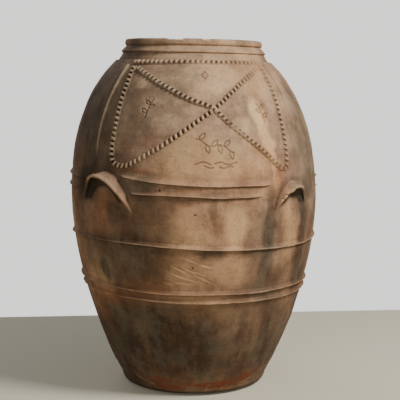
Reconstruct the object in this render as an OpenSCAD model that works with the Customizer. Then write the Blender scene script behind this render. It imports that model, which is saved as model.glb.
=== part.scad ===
// Large terracotta storage jar with four lug handles, 900 mm tall.
// Millimetres. The origin is the centre of the resting face, +Z is up,
// and the decorated panel of the shoulder faces -Y.
// Azimuths are degrees from -Y towards +X.

/* [Body] */
// Greatest diameter of the belly
belly_d = 647; // [620:1:670]
// Height of the greatest diameter
belly_z = 500; // [480:1:520]
// Diameter at the upper edge of the foot bevel
foot_d = 388; // [370:1:400]
// Diameter of the face that the jar rests on
rest_d = 324; // [300:1:340]
// Diameter at the ledge under the neck
shoulder_d = 407; // [395:1:420]
// Thickness of the thrown wall
wall_t = 22; // [16:1:26]
// Thickness of the floor slab
floor_t = 28; // [22:1:34]

/* [Neck and lip] */
// Inner diameter of the mouth
mouth_d = 320; // [300:1:326]
// Outer diameter of the rolled lip
lip_d = 357; // [348:1:364]
// Height of the top of the lip
lip_z = 900; // [896:1:906]

/* [Bands] */
// How far the beads of the bands stand out
bead_p = 6; // [3:0.5:8]
// Height of one bead of a band
bead_h = 13; // [10:1:16]
// Thickness of a band between its beads
band_t = 1.6; // [1:0.2:3]

/* [Handles] */
// Radius of the outer edge of a handle's arch
arch_r = 80; // [72:1:86]
// Thickness of the arch seen from the front
arch_t = 24; // [18:1:30]
// Height of the centre of the arch
arch_z = 493; // [486:1:500]
// How far the crown of a handle stands off the wall
arch_p = 34; // [30:1:40]

/* [Notched strings] */
// Distance between two knobs of a string
knob_pitch = 12.8; // [12:0.2:16]
// Width of a string
string_w = 15; // [12:0.5:18]
// Height of a string's knobs above the wall
knob_h = 5.4; // [4:0.2:8]

/* [Hidden] */

$fn = 96;
eps = 0.01;
CLAY = [0.60, 0.46, 0.35];
CLAY_DARK = [0.42, 0.31, 0.23];
CLAY_ORANGE = [0.56, 0.30, 0.17];

// Heights where one thrown section is luted to the next, each behind a band
joint_low = 278;
joint_mid = 411;
joint_top = 545;
// Height of the ledge at the top of the shoulder
ledge_z = 845;
// Heights of the bevel of the floor slab and of the foot band's upper edge
bevel_z = 16;
foot_z = 18;
foot_band_z = 60;
foot_band_t = 11;

// Outer outline of the body: two curves that meet upright at the belly
LOWER_CURVE = [[foot_d / 2, foot_z], [foot_d / 2 + 22, foot_z + 44],
               [belly_d / 2, belly_z - 220], [belly_d / 2, belly_z]];
UPPER_CURVE = [[belly_d / 2, belly_z], [belly_d / 2, belly_z + 95],
               [belly_d / 2 - 17.5, ledge_z - 99], [shoulder_d / 2, ledge_z]];

function bezier(p, t) = pow(1 - t, 3) * p[0] + 3 * pow(1 - t, 2) * t * p[1]
                      + 3 * (1 - t) * t * t * p[2] + pow(t, 3) * p[3];

CURVE_STEPS = 32;
OUTLINE = [for (i = [0 : 2 * CURVE_STEPS])
    i < CURVE_STEPS ? bezier(LOWER_CURVE, i / CURVE_STEPS)
                    : bezier(UPPER_CURVE, i / CURVE_STEPS - 1)];
RADIUS_AT = [for (p = OUTLINE) [p[1], p[0]]];

// Radius of the outside of the wall at a height, and of the inside
function outer_r(z) = lookup(z, RADIUS_AT);
function slope(z) = (outer_r(z + 4) - outer_r(z - 4)) / 8;
function inner_r(z) = outer_r(z) - wall_t * sqrt(1 + pow(slope(z), 2));

// Evenly spaced heights from z0 to z1, about step apart
function levels(z0, z1, step) = let (n = ceil(abs(z1 - z0) / step))
    [for (i = [0 : n]) z0 + (z1 - z0) * i / n];

// A thrown section of the wall
module wall_section(z0, z1) {
    rotate_extrude()
        polygon(concat([for (z = levels(z0, z1, 16)) [outer_r(z), z]],
                       [for (z = levels(z1, z0, 16)) [inner_r(z), z]]));
}

// The space inside the outer outline, for cutting what is luted on to fit it
module body_space(z0, z1) {
    rotate_extrude()
        polygon(concat([[0, z0]], [for (z = levels(z0, z1, 16)) [outer_r(z), z]], [[0, z1]]));
}

// Turns what is built on +X to an azimuth
module at_azimuth(a) {
    rotate([0, 0, a - 90]) children();
}

/* Bands: a thin strip with beads, each bead steep below and sloping above */
function bead_rise(z, foot) = let (t = (z - foot) / bead_h)
    t <= 0 || t >= 1 ? 0 : t < 0.3 ? bead_p * sin(t / 0.3 * 90)
                                   : bead_p * pow(cos((t - 0.3) / 0.7 * 90), 1.5);
function band_rise(z, z0, z1, feet) = let (edge = min(z - z0, z1 - z, 3) / 3)
    band_t * edge + max([for (f = feet) bead_rise(z, f)]);

module band_outline(z0, z1, feet) {
    polygon(concat([for (z = levels(z0, z1, 2)) [outer_r(z) + band_rise(z, z0, z1, feet), z]],
                   [for (z = levels(z1, z0, 8)) [outer_r(z) - eps, z]]));
}

module band(z0, z1, feet) {
    rotate_extrude() band_outline(z0, z1, feet);
}

LOWER_BAND = [262, 304];
LOWER_BEADS = [266, 288];
MIDDLE_BAND = [398, 424];
MIDDLE_BEADS = [402];
HANDLE_BAND = [522, 574];
HANDLE_BEADS = [526, 553];

// A quarter of the band at the handles, between two neighbouring handles
module handle_band(a) {
    color(CLAY) difference() {
        at_azimuth(a - 45) rotate_extrude(angle = 90)
            band_outline(HANDLE_BAND[0], HANDLE_BAND[1], HANDLE_BEADS);
        for (side = [-45, 45])
            at_azimuth(a + side) arch_block(arch_r);
    }
}

/* Handles: an arch whose crown stands off the wall like a hood */
arch_reach = 100;

// Everything inside an arch outline, from the belly outwards
module arch_block(r) {
    translate([belly_d / 2 - arch_reach / 2, 0, arch_z]) {
        rotate([0, 90, 0]) cylinder(r = r, h = arch_reach);
        translate([0, -r, -arch_reach]) cube([arch_reach, 2 * r, arch_reach]);
    }
}

// How far a handle stands off the wall at each height, from its feet up to its crown
HOOD = [[455, 0], [470, 5], [490, 0.48 * arch_p], [515, 0.83 * arch_p], [540, arch_p],
        [552, arch_p], [564, 0.83 * arch_p], [576, 0.50 * arch_p], [588, 0.15 * arch_p], [596, 0]];
hood_tilt = 20;

module handle(a) {
    color(CLAY) difference() {
        intersection() {
            at_azimuth(a) arch_block(arch_r);
            rotate_extrude()
                polygon(concat([[belly_d / 2 - 40, HOOD[0][0]]],
                               [for (h = HOOD) [outer_r(h[0]) + h[1], h[0]]],
                               [[belly_d / 2 - 40, 596]]));
        }
        body_space(440, 610);
        // The finger pocket rises towards the wall
        at_azimuth(a) translate([belly_d / 2 + arch_p, 0, 0]) pocket(arch_r - arch_t);
    }
}

module pocket(r) {
    translate([0, 0, arch_z - 2]) rotate([0, hood_tilt, 0]) translate([-arch_reach, 0, 0]) {
        rotate([0, 90, 0]) cylinder(r = r, h = 2 * arch_reach);
        translate([0, -r, -arch_reach]) cube([2 * arch_reach, 2 * r, arch_reach]);
    }
}

/* Strings and ribs: strips that follow a route of [azimuth, height] over the wall */
// Top string, along the ledge
ROUTE_TOP = [[-49, 843], [-25, 843], [0, 842], [25, 841], [47, 840]];
// Down beside the left handle, round the corner, then up across the panel
ROUTE_LEFT = [[-46, 834], [-44, 790], [-43.5, 740], [-43, 680], [-43, 630], [-41.5, 604],
              [-37, 596], [-32, 602], [-19, 643], [-2.5, 702], [6, 731], [22, 787], [42, 829]];
// Down across the panel as far as the left string
ROUTE_RIGHT_UPPER = [[-42, 829], [-31, 809], [-20, 786], [-6, 755], [4.2, 737]];
// From the left string on, round the corner, then up beside the right handle
ROUTE_RIGHT_LOWER = [[8, 722], [15, 688], [28, 634], [36.5, 593], [39.5, 586], [41.2, 594],
                     [42, 630], [42.5, 680], [43.5, 740], [45, 790], [46, 831]];
RIB_AZIMUTH = 52.5;
RIB_TOP = 836;
RIB_FOOT = 612;
rib_w = 7;
rib_h = 4;

function on_wall(p) = let (r = outer_r(p[1])) [r * sin(p[0]), -r * cos(p[0]), p[1]];

// A smooth curve through the points of a route
function spline(p, i, t) = let (a = p[max(i - 1, 0)], b = p[i], c = p[i + 1],
                                d = p[min(i + 2, len(p) - 1)])
    0.5 * (2 * b + (c - a) * t + (2 * a - 5 * b + 4 * c - d) * t * t
           + (3 * b - a - 3 * c + d) * t * t * t);
function smooth(p, n) = concat([for (i = [0 : len(p) - 2], k = [0 : n - 1]) spline(p, i, k / n)],
                               [p[len(p) - 1]]);
// Length along a curve of space points at each of them
function lengths(q) = [for (i = 0, s = 0; i < len(q);
                            s = s + (i < len(q) - 1 ? norm(q[i + 1] - q[i]) : 0), i = i + 1) s];
function along(s, run, q, axis) = lookup(s, [for (i = [0 : len(q) - 1]) [run[i], q[i][axis]]]);
function unit(v) = v / norm(v);
function wall_normal(q) = let (r = norm([q[0], q[1]]))
    unit([q[0] / r, q[1] / r, -slope(q[2])]);

// One cross-section of a strip: two points on the wall, three over it
function strip_ring(q, ahead, w, h) = let (n = wall_normal(q), side = unit(cross(ahead, n)))
    [for (f = [[-0.5, 0], [-0.42, 0.55], [0, 1], [0.42, 0.55], [0.5, 0]])
        q + side * f[0] * w + n * (f[1] * h - (f[1] == 0 ? 0.4 : 0))];

// A strip with rings at every distance of the list, width and height given for each
module strip(route, dist, width, height) {
    flat = smooth(route, 8);
    q = [for (p = flat) on_wall(p)];
    run = lengths(q);
    at = function (s) [along(s, run, q, 0), along(s, run, q, 1), along(s, run, q, 2)];
    on = function (s) let (a = at(s), az = atan2(a[0], -a[1])) on_wall([az, a[2]]);
    total = run[len(run) - 1];
    n = len(dist);
    points = [for (i = [0 : n - 1]) let (s = dist[i] * total)
        each strip_ring(on(s), on(min(s + 2, total)) - on(max(s - 2, 0)), width[i], height[i])];
    sides = [for (i = [0 : n - 2], k = [0 : 4]) let (a = 5 * i + k, b = 5 * i + (k + 1) % 5)
        [a, b, b + 5, a + 5]];
    polyhedron(points, concat([[for (k = [4 : -1 : 0]) k]], sides,
                              [[for (k = [0 : 4]) 5 * (n - 1) + k]]), convexity = 10);
}

// A string: a strip whose width and height swell at each knob
module string(route) {
    q = [for (p = smooth(route, 8)) on_wall(p)];
    run = lengths(q);
    knobs = round(run[len(run) - 1] / knob_pitch);
    swell = [for (k = [1 : knobs]) each [0, 0.85, 1, 0.85]];
    n = len(swell);
    dist = [for (i = [0 : n]) i / n];
    wave = concat(swell, [0]);
    strip(route, dist, [for (f = wave) string_w * (0.72 + 0.28 * f)],
          [for (f = wave) knob_h * (0.35 + 0.65 * f)]);
}

module rib(azimuth) {
    n = 12;
    strip([for (z = levels(RIB_TOP, RIB_FOOT, 28)) [azimuth, z]], [for (i = [0 : n]) i / n],
          [for (i = [0 : n]) rib_w], [for (i = [0 : n]) rib_h * min(1, (n - i) / 3 + 0.2)]);
}

/* Pieces */
module base_slab() {
    slab_r = outer_r(floor_t) - foot_band_t;
    color(CLAY_DARK) rotate_extrude()
        polygon([[0, 0], [rest_d / 2, 0], [rest_d / 2 + 12, 5], [slab_r, bevel_z],
                 [slab_r, floor_t], [0, floor_t]]);
}

module foot_band() {
    slab_r = outer_r(floor_t) - foot_band_t;
    color(CLAY_ORANGE) rotate_extrude()
        polygon(concat([[slab_r, bevel_z - 2], [foot_d / 2, foot_z]],
                       [for (z = levels(foot_z, foot_band_z, 14)) [outer_r(z), z]],
                       [for (z = levels(foot_band_z, floor_t, 16)) [outer_r(z) - foot_band_t, z]]));
}

module lower_wall() {
    color(CLAY_DARK) rotate_extrude()
        polygon(concat([for (z = levels(floor_t, foot_band_z, 16)) [outer_r(z) - foot_band_t, z]],
                       [for (z = levels(foot_band_z, joint_low, 16)) [outer_r(z), z]],
                       [for (z = levels(joint_low, floor_t, 16)) [inner_r(z) - cove(z), z]]));
}

// The inside corner between wall and floor is filled with a cove
function cove(z) = z > floor_t + 40 ? 0 : 30 * pow((floor_t + 40 - z) / 40, 2);

module belly_wall() {
    color(CLAY) wall_section(joint_low, joint_mid);
}

module upper_wall() {
    color(CLAY) wall_section(joint_mid, joint_top);
}

module shoulder_wall() {
    color(CLAY) wall_section(joint_top, ledge_z);
}

module lower_band() {
    color(CLAY_DARK) band(LOWER_BAND[0], LOWER_BAND[1], LOWER_BEADS);
}

module middle_band() {
    color(CLAY) band(MIDDLE_BAND[0], MIDDLE_BAND[1], MIDDLE_BEADS);
}

module handle_band_front() {
    handle_band(0);
}

module handle_band_right() {
    handle_band(90);
}

module handle_band_back() {
    handle_band(180);
}

module handle_band_left() {
    handle_band(270);
}

// The neck is three rings on the ledge: a flared ring, a collar with a nose, and the lip
ring_z = 866;
collar_z = 884;
mouth_r = mouth_d / 2;

module neck_ring() {
    color(CLAY) rotate_extrude()
        polygon([[inner_r(ledge_z), ledge_z], [shoulder_d / 2 - 8, ledge_z],
                 [shoulder_d / 2 - 10, ledge_z + 5], [shoulder_d / 2 - 16, ledge_z + 13],
                 [shoulder_d / 2 - 19, ring_z], [mouth_r, ring_z], [mouth_r, ledge_z + 10]]);
}

module neck_collar() {
    color(CLAY) rotate_extrude()
        polygon([[mouth_r, ring_z], [shoulder_d / 2 - 18, ring_z], [shoulder_d / 2 - 15.5, ring_z + 2],
                 [shoulder_d / 2 - 17, ring_z + 5], [shoulder_d / 2 - 24, ring_z + 12],
                 [lip_d / 2 - 3, collar_z], [mouth_r, collar_z]]);
}

module rim_lip() {
    h = lip_z - collar_z;
    color(CLAY) rotate_extrude()
        polygon([[mouth_r, collar_z], [lip_d / 2 - 3, collar_z], [lip_d / 2 - 0.5, collar_z + 0.2 * h],
                 [lip_d / 2, collar_z + 0.45 * h], [lip_d / 2 - 1, collar_z + 0.75 * h],
                 [lip_d / 2 - 4, lip_z - 1], [lip_d / 2 - 7, lip_z], [mouth_r + 5, lip_z],
                 [mouth_r + 1.5, lip_z - 2], [mouth_r, lip_z - 6]]);
}

module handle_front_left() {
    handle(-45);
}

module handle_front_right() {
    handle(45);
}

module handle_back_right() {
    handle(135);
}

module handle_back_left() {
    handle(225);
}

module string_top() {
    color(CLAY) string(ROUTE_TOP);
}

module string_left_loop() {
    color(CLAY) string(ROUTE_LEFT);
}

// Two lengths, butted against the left string where they meet it
module string_right_loop() {
    color(CLAY) string(ROUTE_RIGHT_UPPER);
    color(CLAY) string(ROUTE_RIGHT_LOWER);
}

module rib_left() {
    color(CLAY) rib(-RIB_AZIMUTH);
}

module rib_right() {
    color(CLAY) rib(RIB_AZIMUTH);
}

base_slab();
foot_band();
lower_wall();
lower_band();
belly_wall();
middle_band();
upper_wall();
handle_band_front();
handle_band_right();
handle_band_back();
handle_band_left();
shoulder_wall();
neck_ring();
neck_collar();
rim_lip();
handle_front_left();
handle_front_right();
handle_back_right();
handle_back_left();
string_top();
string_left_loop();
string_right_loop();
rib_left();
rib_right();
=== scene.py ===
"""Large fired-clay storage jar: thrown wall, beaded bands, hooded handles and notched clay strings.

Everything is in the CAD frame and in metres, unless a comment says millimetres: +Z up, origin at
the centre of the resting face, the decorated panel faces -Y. Azimuths are degrees from -Y towards
+X. Stand-off is the distance that a detail stands out of the thrown wall.
"""
import itertools
import math

import bpy
import numpy as np
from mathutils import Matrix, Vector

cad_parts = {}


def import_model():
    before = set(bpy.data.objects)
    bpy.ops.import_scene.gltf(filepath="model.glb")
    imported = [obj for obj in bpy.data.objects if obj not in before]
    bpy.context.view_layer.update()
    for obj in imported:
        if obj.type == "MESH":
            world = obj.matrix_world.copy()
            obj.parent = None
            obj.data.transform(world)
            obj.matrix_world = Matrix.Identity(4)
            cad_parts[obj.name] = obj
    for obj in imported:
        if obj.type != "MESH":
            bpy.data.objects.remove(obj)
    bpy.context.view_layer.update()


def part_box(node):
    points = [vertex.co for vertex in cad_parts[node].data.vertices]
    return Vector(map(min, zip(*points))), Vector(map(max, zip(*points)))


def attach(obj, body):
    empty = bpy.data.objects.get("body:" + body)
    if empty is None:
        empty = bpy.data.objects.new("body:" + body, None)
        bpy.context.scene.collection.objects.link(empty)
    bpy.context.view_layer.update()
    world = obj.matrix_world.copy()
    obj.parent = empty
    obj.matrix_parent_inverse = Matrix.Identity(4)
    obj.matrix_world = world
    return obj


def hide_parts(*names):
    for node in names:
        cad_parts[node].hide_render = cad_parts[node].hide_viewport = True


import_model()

MM = 0.001


# ---- places, most of them read from the frame
def bottom(node):
    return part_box(node)[0][2]


def top(node):
    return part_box(node)[1][2]


FOOT_Z = 0.018
FOOT_R = 0.194
REST_R = 0.162
FOOT_BAND_Z = top("foot_band")
FLOOR_Z = top("base_slab")
BELLY_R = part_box("upper_wall")[1][0]
BELLY_Z = 0.500
LEDGE_Z = top("shoulder_wall")
SHOULDER_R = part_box("neck_ring")[1][0] + 8 * MM
RING_Z = top("neck_ring")
COLLAR_Z = top("neck_collar")
LIP_Z = top("rim_lip")
LIP_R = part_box("rim_lip")[1][0]
MOUTH_R = 0.160
WALL_T = 0.022

# How much the rings sink towards +X on this hand-made jar, metres per metre
RING_TILT = 0.021

# Columns of the thrown pieces: fine on the decorated side, coarser behind
FRONT = 62
FRONT_STEP = 0.36
BACK_STEP = 0.95
COLUMNS = np.concatenate([np.arange(-FRONT, FRONT, FRONT_STEP),
                          np.arange(FRONT, 360 - FRONT, BACK_STEP)])
ROW_STEP = 1.8 * MM
BAND_STEP = 1.1 * MM
INSIDE_STEP = 9 * MM
HIDDEN_STEP = 6 * MM


# ---- fields
def lattice(i, j, k, seed):
    """A repeatable random number from -1 to 1 for each whole-numbered place."""
    h = (i * 374761393 + j * 668265263 + k * 1440662683 + seed * 1274126177) & 0xFFFFFFFF
    h = ((h ^ (h >> 13)) * 1103515245) & 0xFFFFFFFF
    h = h ^ (h >> 16)
    return (h & 0xFFFF) / 32767.5 - 1


def noise(p, size, seed=0):
    """Smooth random field from -1 to 1 at points p, with features of the given size."""
    q = p / np.asarray(size) + 500
    cell = np.floor(q).astype(np.int64)
    f = q - cell
    f = f * f * (3 - 2 * f)
    total = 0
    for corner in itertools.product((0, 1), repeat=3):
        weight = 1
        for axis in range(3):
            weight = weight * (f[..., axis] if corner[axis] else 1 - f[..., axis])
        total = total + weight * lattice(*(cell[..., a] + corner[a] for a in range(3)), seed)
    return total


def clouds(p, size, seed=0, octaves=3):
    """Several sizes of noise, each half as large and half as strong as the one before."""
    total, strength = 0, 0
    for k in range(octaves):
        total = total + noise(p, np.asarray(size) / 2 ** k, seed + k) / 2 ** k
        strength += 1 / 2 ** k
    return total / strength


def smooth(x, low, high):
    """0 below low, 1 above high, and an S-curve between."""
    t = np.clip((x - low) / (high - low), 0, 1)
    return t * t * (3 - 2 * t)


# ---- the thrown form
def cubic(a, b, c, d, t):
    """A curve from a to d, drawn towards b and c, at parts t of the way."""
    return (1 - t) ** 3 * a + 3 * (1 - t) ** 2 * t * b + 3 * (1 - t) * t ** 2 * c + t ** 3 * d


def bezier(points, t):
    return cubic(*np.array(points), np.asarray(t)[..., None])


STEPS = np.linspace(0, 1, 200)
LOWER = bezier([(FOOT_R, FOOT_Z), (FOOT_R + 0.022, FOOT_Z + 0.044),
                (BELLY_R, BELLY_Z - 0.220), (BELLY_R, BELLY_Z)], STEPS)
UPPER = bezier([(BELLY_R, BELLY_Z), (BELLY_R, BELLY_Z + 0.095),
                (BELLY_R - 0.0175, LEDGE_Z - 0.099), (SHOULDER_R, LEDGE_Z)], STEPS)
OUTLINE = np.vstack([LOWER, UPPER[1:]])


def wall_r(z):
    return np.interp(z, OUTLINE[:, 1], OUTLINE[:, 0])


def wall_slope(z):
    return (wall_r(z + 2 * MM) - wall_r(z - 2 * MM)) / (4 * MM)


def inner_r(z):
    """Inside of the wall, with the cove that rounds the corner with the floor."""
    cove = 30 * MM * np.clip((FLOOR_Z + 0.040 - z) / 0.040, 0, 1) ** 2
    return wall_r(z) - WALL_T * np.sqrt(1 + wall_slope(z) ** 2) - cove


def tilt(z):
    """How much the rings sink towards +X at a height: nothing at the foot."""
    return RING_TILT * smooth(z, 0.02, 0.20)


def place(azimuth, r, z):
    """The point at an azimuth, radius and height, with the tilt of the rings."""
    a = np.radians(azimuth)
    x = r * np.sin(a)
    return np.stack(np.broadcast_arrays(x, -r * np.cos(a), z - tilt(z) * x), axis=-1)


def level(azimuth, z):
    """The height before the tilt of a place on the wall that ends up at height z."""
    return z + tilt(z) * wall_r(z) * np.sin(np.radians(azimuth))


def turn_from(at_azimuth, azimuth):
    """Degrees from one azimuth to another, -180 to 180."""
    return (azimuth - at_azimuth + 180) % 360 - 180


def outline_from(r, z, *steps):
    """Outline points (radius, height) at steps in millimetres from a radius and a height."""
    return [(r + dr * MM, z + dz * MM) for dr, dz in steps]


# ---- hoods' places
def hood(azimuth, crown, span, drop, out, flank, power, fall):
    """A hood's place and shape from lengths in millimetres.

    These are the azimuth and height of the crown's edge, half the span, the drop from the crown to
    the feet, the stand-off at the crown, the width of the flank, how round the arch is, and how
    fast the stand-off falls. Pairs are for the sides towards -azimuth and towards +azimuth.
    """
    return dict(azimuth=azimuth, crown=crown * MM, span=span * MM, drop=drop * MM, out=out * MM,
                flank=[w * MM for w in flank], power=power, fall=fall)


HOODS = {"handle_front_left": hood(-46.5, 562, 88, 87, 33, (4, 17), (3.0, 1.85), (1.4, 0.80)),
         "handle_front_right": hood(44.5, 543, 64, 56, 26, (15, 13), (1.8, 3.0), (0.75, 1.35)),
         "handle_back_right": hood(134.5, 553, 80, 75, 31, (14, 15), (1.9, 2.1), (0.80, 0.90)),
         "handle_back_left": hood(225.5, 558, 83, 80, 32, (15, 14), (2.1, 1.9), (0.85, 0.75))}


def hood_gap(azimuth, z):
    """Rough distance along the wall from the edge of the nearest hood, below 0 inside its arch."""
    gap = 1.0
    for shape in HOODS.values():
        side = turn_from(shape["azimuth"], azimuth)
        f = np.abs(np.radians(side)) * BELLY_R / shape["span"]
        power = np.where(side < 0, *shape["power"])
        drop = shape["drop"] * f ** power
        steep = np.sqrt(1 + (power * drop / (shape["span"] * np.maximum(f, 0.01))) ** 2)
        gap = np.minimum(gap, (z - shape["crown"] + drop) / steep)
    return gap


# ---- bands
BEAD_H = 12 * MM
BEAD_RISE = 6.2 * MM
BEAD_DROOP = 0.40
BAND_DEPTH = 9 * MM
NOSE = 0.20
# Heights of the feet of each band's beads
BANDS = {"lower_band": (0.266, 0.288), "middle_band": (0.402,), "handle_band": (0.526, 0.553)}
UPPER_FOOT = BANDS["handle_band"][1]
# The quarters of the band at the handles start at the right foot of a hood, HOOD_FOOT for the
# first. Degrees past it where the beads start, one for each quarter, and where they end. The
# lower bead is shorter at each end by LOWER_INSET.
HOOD_FOOT = -38
BEAD_START = np.array([0, 24, 2, 3])
BEAD_END = 71
LOWER_INSET = 5


def band_shift(name, azimuth, foot):
    """How far a bead wanders up or down from its level."""
    a = np.radians(azimuth)
    wander = 1.2 * MM * np.sin(3 * a + 40 * foot) + 0.7 * MM * np.sin(7 * a + 90 * foot)
    if name == "middle_band":
        wander = wander - 3.6 * MM * np.sin(2 * a)
    if name == "handle_band":
        curl = 15 * MM if foot == UPPER_FOOT else 3 * MM
        wander = wander + curl * np.exp(-((azimuth - HOOD_FOOT) % 90) / 12)
        wander = wander - 2 * MM * np.exp(-((azimuth - 8) / 9) ** 2)
    return wander


def bead_slope(t):
    """The upper side of a bead, which falls from its nose to its top."""
    return (1 - smooth(t, 0.5 * NOSE, 1)) ** 1.7


def bead(t):
    """Stand-off of a bead from its foot, t = 0, to its top, t = 1, as a part of its rise."""
    under = np.sin(np.clip(t / NOSE, 0, 1) * math.pi / 2) ** 0.8
    over = bead_slope(t) / bead_slope(NOSE)
    return np.where((t > 0) & (t < 1), np.where(t < NOSE, under, over), 0)


def bands(azimuth, z, p):
    """Stand-off of the beads of all bands, and the painted shade in the crease under each bead,
    fading out below it.
    """
    rise = np.zeros(np.broadcast(azimuth, z).shape)
    under_bead_shade = np.zeros(rise.shape)
    worn = 0.86 + 0.20 * clouds(p, 0.070, 21, 2) + 0.10 * noise(p, 0.012, 23)
    for name, feet in BANDS.items():
        for foot in feet:
            up = z - foot - band_shift(name, azimuth, foot)
            there = 1.0
            slim = 1.0
            if name == "handle_band":
                inset = 0 if foot == UPPER_FOOT else LOWER_INSET
                quarter = ((azimuth - HOOD_FOOT) // 90).astype(int) % 4
                past = (azimuth - HOOD_FOOT) % 90 - BEAD_START[quarter] - inset
                end = BEAD_END - BEAD_START[quarter] - 2 * inset
                there = smooth(past, 0, 3) * smooth(end - past, 0, 6)
                there = there * smooth(hood_gap(azimuth, z), 10 * MM, 20 * MM)
                slim = 0.65 + 0.35 * smooth(past, 0, 25)
            rise = np.maximum(rise, bead(up / (BEAD_H * slim)) * BEAD_RISE * worn * there)
            # Painted shade: strongest in the crease at a bead's foot, and fading out below it
            shade = np.where(up > 0, np.exp(-(up / (1.2 * MM)) ** 2), np.exp(up / (4.0 * MM)))
            under_bead_shade = np.maximum(under_bead_shade, shade * there)
            hollow = np.exp(-((up - 1.25 * BEAD_H) / (0.45 * BEAD_H)) ** 2)
            rise = rise - 0.9 * MM * hollow * there
    return rise, under_bead_shade


# ---- marks on the wall
rng = np.random.default_rng(4)


def around(azimuth, z, at_azimuth, at_z):
    """Metres along the wall sideways and upwards from a place on it."""
    side = np.radians(turn_from(at_azimuth, azimuth)) * wall_r(at_z)
    return side, (z - at_z) * math.sqrt(1 + wall_slope(at_z) ** 2)


def spot(azimuth, z, at_azimuth, at_z, half_w, half_h):
    """1 at a place on the wall, fading to 0 at an ellipse round it."""
    x, y = around(azimuth, z, at_azimuth, at_z)
    return np.clip(1 - np.sqrt((x / half_w) ** 2 + (y / half_h) ** 2), 0, 1)


# Small holes and knocks: azimuth, height, then radius and depth in millimetres
KNOCKS = [(-18.5, 0.540, 3.4, 2.5), (-20, 0.538, 2.2, 1.2), (-16.5, 0.543, 2.4, 1.0),
          (-3.5, 0.484, 2.6, 2.5), (-4.5, 0.355, 2.6, 2.0), (-27, 0.513, 2.2, 1.5),
          (15, 0.508, 2.4, 1.5), (2, 0.512, 2.0, 1.2), (-33, 0.497, 1.8, 1.0)]
PITS = [(rng.uniform(-180, 180), rng.uniform(0.05, 0.83), rng.uniform(1.0, 2.0),
         rng.uniform(0.3, 0.8)) for _ in range(260)]


def pits(azimuth, z):
    """Depth of the small pits and knocks, on a grid of rows and columns."""
    depth = np.zeros(np.broadcast(azimuth, z).shape)
    columns = azimuth[0]
    levels = z[:, 0]
    for a, h, radius, deep in KNOCKS + PITS:
        reach = radius * MM * 1.3
        rows = np.nonzero(np.abs(levels - h) < reach)[0]
        cols = np.nonzero(np.radians(np.abs(turn_from(a, columns))) * wall_r(h) < reach)[0]
        if len(rows) and len(cols):
            pick = np.ix_(rows, cols)
            hole = smooth(spot(azimuth[pick], z[pick], a, h, reach, reach), 0, 0.7)
            depth[pick] = np.maximum(depth[pick], hole * deep * MM)
    return depth


# Incised motifs, all of them plain ornament. A motif is a list of strokes, and a stroke is a list
# of points in millimetres.
def leaf(x, y, length, turn):
    """A pointed leaf that grows from (x, y) in the direction of turn."""
    c, s = math.cos(math.radians(turn)), math.sin(math.radians(turn))
    shape = [(0, 0), (0.3, 0.24), (0.65, 0.22), (1, 0), (0.65, -0.20), (0.3, -0.22), (0, 0)]
    return [(x + length * (u * c - v * s), y + length * (u * s + v * c)) for u, v in shape]


def dot(x, y):
    return [(x, y), (x + 0.5, y)]


def lozenge():
    return [[(0, 11), (8, 0), (0, -11), (-8, 0), (0, 11)], dot(0, 0), dot(-20, 1), dot(17, 0)]


def sprig(lean):
    """A bent stem with leaves; lean is 1 or -1 for the side that it bends to."""
    stem = [(lean * x, y) for x, y in ((-4, -28), (-1, -14), (1, 0), (5, 12), (12, 22))]
    leaves = [leaf(lean * -1, -14, 18, 90 + lean * 55), leaf(lean * 1, -2, 17, 90 - lean * 60),
              leaf(lean * 3, 8, 16, 90 + lean * 50)]
    return [stem] + leaves


def garland():
    """A wavy stem that falls to the right, with leaves on both sides."""
    stem = [(x, -0.24 * x + 5 * math.sin(x / 9)) for x in range(-46, 50, 4)]
    leaves = [leaf(x, -0.24 * x + 5 * math.sin(x / 9), 21, -13 + side * 62)
              for x, side in ((-38, 1), (-22, -1), (-8, 1), (8, -1), (22, 1), (36, -1))]
    return [stem] + leaves


def waves():
    """Two broken wavy lines, the lower one shorter."""
    upper = [(x, 3 * math.sin(x / 6.5)) for x in range(-52, 54, 3)]
    lower = [(x, -9 + 2.5 * math.sin(x / 5 + 1)) for x in range(-40, 44, 3)]
    return [upper[:14], upper[16:], lower[4:12], lower[16:]]


MOTIFS = [(2.5, 0.811, lozenge()), (-27, 0.733, sprig(1)), (31.5, 0.727, sprig(-1)),
          (5.5, 0.647, garland()), (5.5, 0.606, waves())]
GROOVE_W = 1.5 * MM
GROOVE_DEEP = 2.0 * MM


def stroke_distance(x, y, stroke):
    """Distance from points to a stroke, in metres."""
    best = np.full(x.shape, 1.0)
    for (x0, y0), (x1, y1) in zip(stroke, stroke[1:]):
        ax, ay, dx, dy = x0 * MM, y0 * MM, (x1 - x0) * MM, (y1 - y0) * MM
        t = np.clip(((x - ax) * dx + (y - ay) * dy) / (dx * dx + dy * dy), 0, 1)
        best = np.minimum(best, np.hypot(x - ax - t * dx, y - ay - t * dy))
    return best


def grooves(azimuth, z):
    """Distance from each place to the middle of the nearest groove, 1 where none is near."""
    near = np.full(np.broadcast(azimuth, z).shape, 1.0)
    for at_azimuth, at_z, strokes in MOTIFS:
        x, y = around(azimuth, z, at_azimuth, at_z)
        pick = (np.abs(x) < 0.060) & (np.abs(y) < 0.040)
        if pick.any():
            for stroke in strokes:
                near[pick] = np.minimum(near[pick], stroke_distance(x[pick], y[pick], stroke))
    return near


# Oblique marks of the potter's rib on the belly: azimuth, height, length, turn in degrees
SCRAPES = [(-10.5, 0.347, 0.055, -23), (-10, 0.329, 0.095, -20), (-17, 0.313, 0.060, -14),
           (-9, 0.313, 0.060, -6), (-6.5, 0.372, 0.050, -20), (-0.5, 0.326, 0.060, -28),
           (-4, 0.342, 0.060, -17), (2, 0.356, 0.050, -12)]
SCRAPE_DEEP = 0.9 * MM
SCRAPE_W = 2.6 * MM
# The ridge of clay that a scrape pushes up beside it: distance from its middle, and width
RIDGE_AT = 5 * MM
RIDGE_W = 2.4 * MM


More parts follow.
